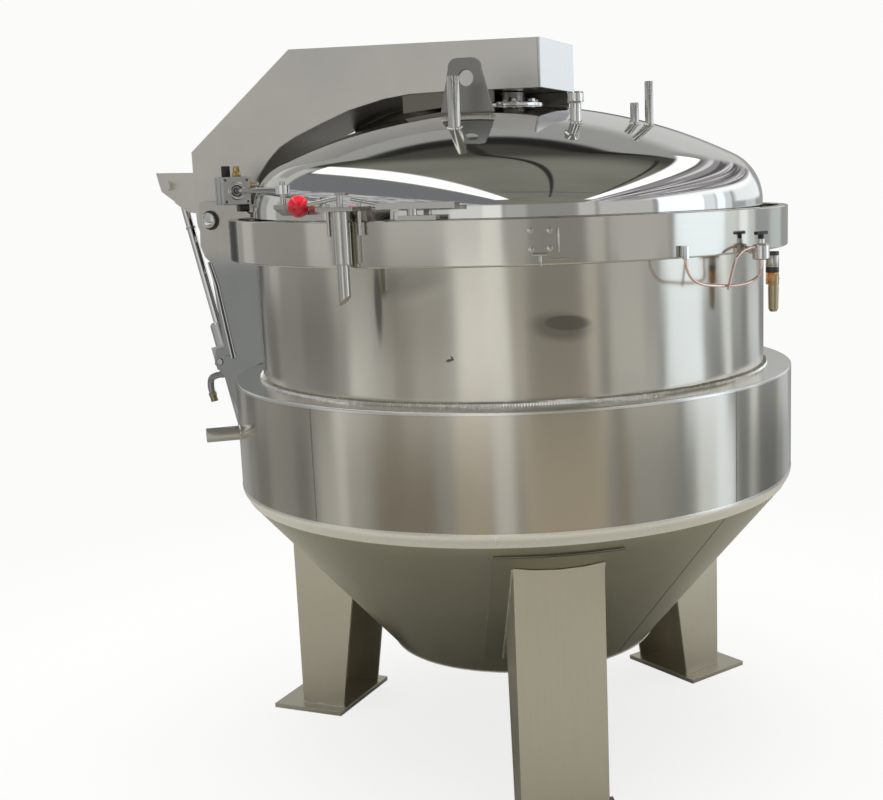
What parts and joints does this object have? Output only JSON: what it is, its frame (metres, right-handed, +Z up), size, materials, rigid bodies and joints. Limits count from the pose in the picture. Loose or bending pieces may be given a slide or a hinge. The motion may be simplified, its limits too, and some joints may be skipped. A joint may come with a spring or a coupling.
{
  "type": "industrial pressure cooker",
  "caption": "Free-standing jacketed steam cooking kettle with a domed swing-up lid on a hinged arm, a clamp ring, a conical jacket bottom and plate legs.",
  "frame": {"origin": "floor level, middle of the bounding box", "axes": "+Z up; +Y towards the lid hinge at the back; +X to the right seen from the front"},
  "size_m": [1.3781, 1.6826, 1.709],
  "materials": {
    "brushed_stainless": "brushed stainless steel",
    "polished_stainless": "mirror-polished stainless steel",
    "arm_stainless": "blasted stainless plate",
    "leg_stainless": "blasted stainless plate",
    "pot_inside_stainless": "brushed stainless steel",
    "aluminium_cylinder": "satin aluminium",
    "chrome_rod": "chromed steel",
    "red_knob": "gloss red",
    "black_plastic": "matte black",
    "copper_tube": "bare copper",
    "brass_fitting": "bare brass"
  },
  "bodies": {
    "vessel": {"pot_wall": "brushed_stainless", "pot_bottom": "pot_inside_stainless", "clamp_ring": "brushed_stainless", "ring_seat": "brushed_stainless", "jacket_wall": "brushed_stainless", "jacket_top": "brushed_stainless", "jacket_cone": "brushed_stainless", "bottom_dish": "brushed_stainless", "leg_left": "leg_stainless", "leg_rear": "leg_stainless", "leg_right": "leg_stainless", "hinge_bracket_left": "arm_stainless", "hinge_bracket_right": "arm_stainless", "hinge_pin": "chrome_rod", "hinge_column": "arm_stainless", "stub_pipe": "brushed_stainless", "interlock_body": "brushed_stainless", "interlock_bracket": "brushed_stainless", "interlock_tongue": "brushed_stainless", "valve_body": "polished_stainless", "union_fitting": "polished_stainless", "copper_tube_main": "copper_tube", "copper_tube_free": "copper_tube", "relief_valve": "brass_fitting"},
    "lid_arm": {"arm_side_left": "arm_stainless", "arm_side_right": "arm_stainless", "arm_top_plate": "arm_stainless", "arm_bottom_plate": "arm_stainless", "arm_end_plate": "arm_stainless"},
    "lid": {"lid_dome": "polished_stainless", "lid_rim": "brushed_stainless", "lid_hub": "brushed_stainless", "lifting_lug": "arm_stainless", "lid_tube_lug": "brushed_stainless", "lid_tube_tall": "brushed_stainless", "lid_tube_short": "brushed_stainless", "lid_ferrule": "polished_stainless", "lock_post": "brushed_stainless"},
    "lock_barrel": {"lock_cylinder": "aluminium_cylinder"},
    "lock_piston": {"lock_rod": "chrome_rod"},
    "lift_barrel": {"lift_cylinder": "aluminium_cylinder", "lift_elbow": "brass_fitting"},
    "lift_piston": {"lift_rod": "chrome_rod"},
    "release_lever": {"interlock_lever": "brushed_stainless", "red_knob": "red_knob"},
    "valve_tee": {"valve_handle": "black_plastic"}
  },
  "joints": [
    {"name": "lid_lift", "type": "hinge", "parent": "vessel", "child": "lid_arm", "pos_m": [0.0177, 0.6171, 1.3025], "axis": [-1, 0, 0], "range_deg": [0, 60]},
    {"name": "lid_turn", "type": "hinge", "parent": "lid_arm", "child": "lid", "pos_m": [0.0177, -0.1547, 1.57], "axis": [0, 0, -1], "range_deg": [0, 8]},
    {"name": "lock_swing", "type": "hinge", "parent": "lid_arm", "child": "lock_barrel", "pos_m": [-0.1213, 0.5573, 1.3745], "axis": [0, 0, -1], "range_deg": [0, 3]},
    {"name": "lock_slide", "type": "slide", "parent": "lock_barrel", "child": "lock_piston", "axis": [0.7071, 0.7071, 0], "range_m": [0, 0.0856]},
    {"name": "lift_tilt", "type": "hinge", "parent": "vessel", "child": "lift_barrel", "pos_m": [0.0177, 0.6875, 0.925], "axis": [-1, 0, 0], "range_deg": [0, 8.5]},
    {"name": "lift_slide", "type": "slide", "parent": "lift_barrel", "child": "lift_piston", "axis": [0, -0.2407, -0.9706], "range_m": [0, 0.2016]},
    {"name": "release_turn", "type": "hinge", "parent": "vessel", "child": "release_lever", "pos_m": [-0.66268, -0.08439, 1.35], "axis": [0, 0, 1], "range_deg": [0, 90]},
    {"name": "valve_turn", "type": "hinge", "parent": "vessel", "child": "valve_tee", "pos_m": [-0.19438, -0.8113, 1.25], "axis": [0, 0, 1], "range_deg": [0, 90]}
  ],
  "couplings": [
    {"joint": "lock_swing", "follows": "lid_turn", "ratio": 0.37},
    {"joint": "lock_slide", "follows": "lid_turn", "m_per_rad": 0.612},
    {"joint": "lift_tilt", "follows": "lid_lift", "ratio": 0.14},
    {"joint": "lift_slide", "follows": "lid_lift", "m_per_rad": 0.1923}
  ]
}
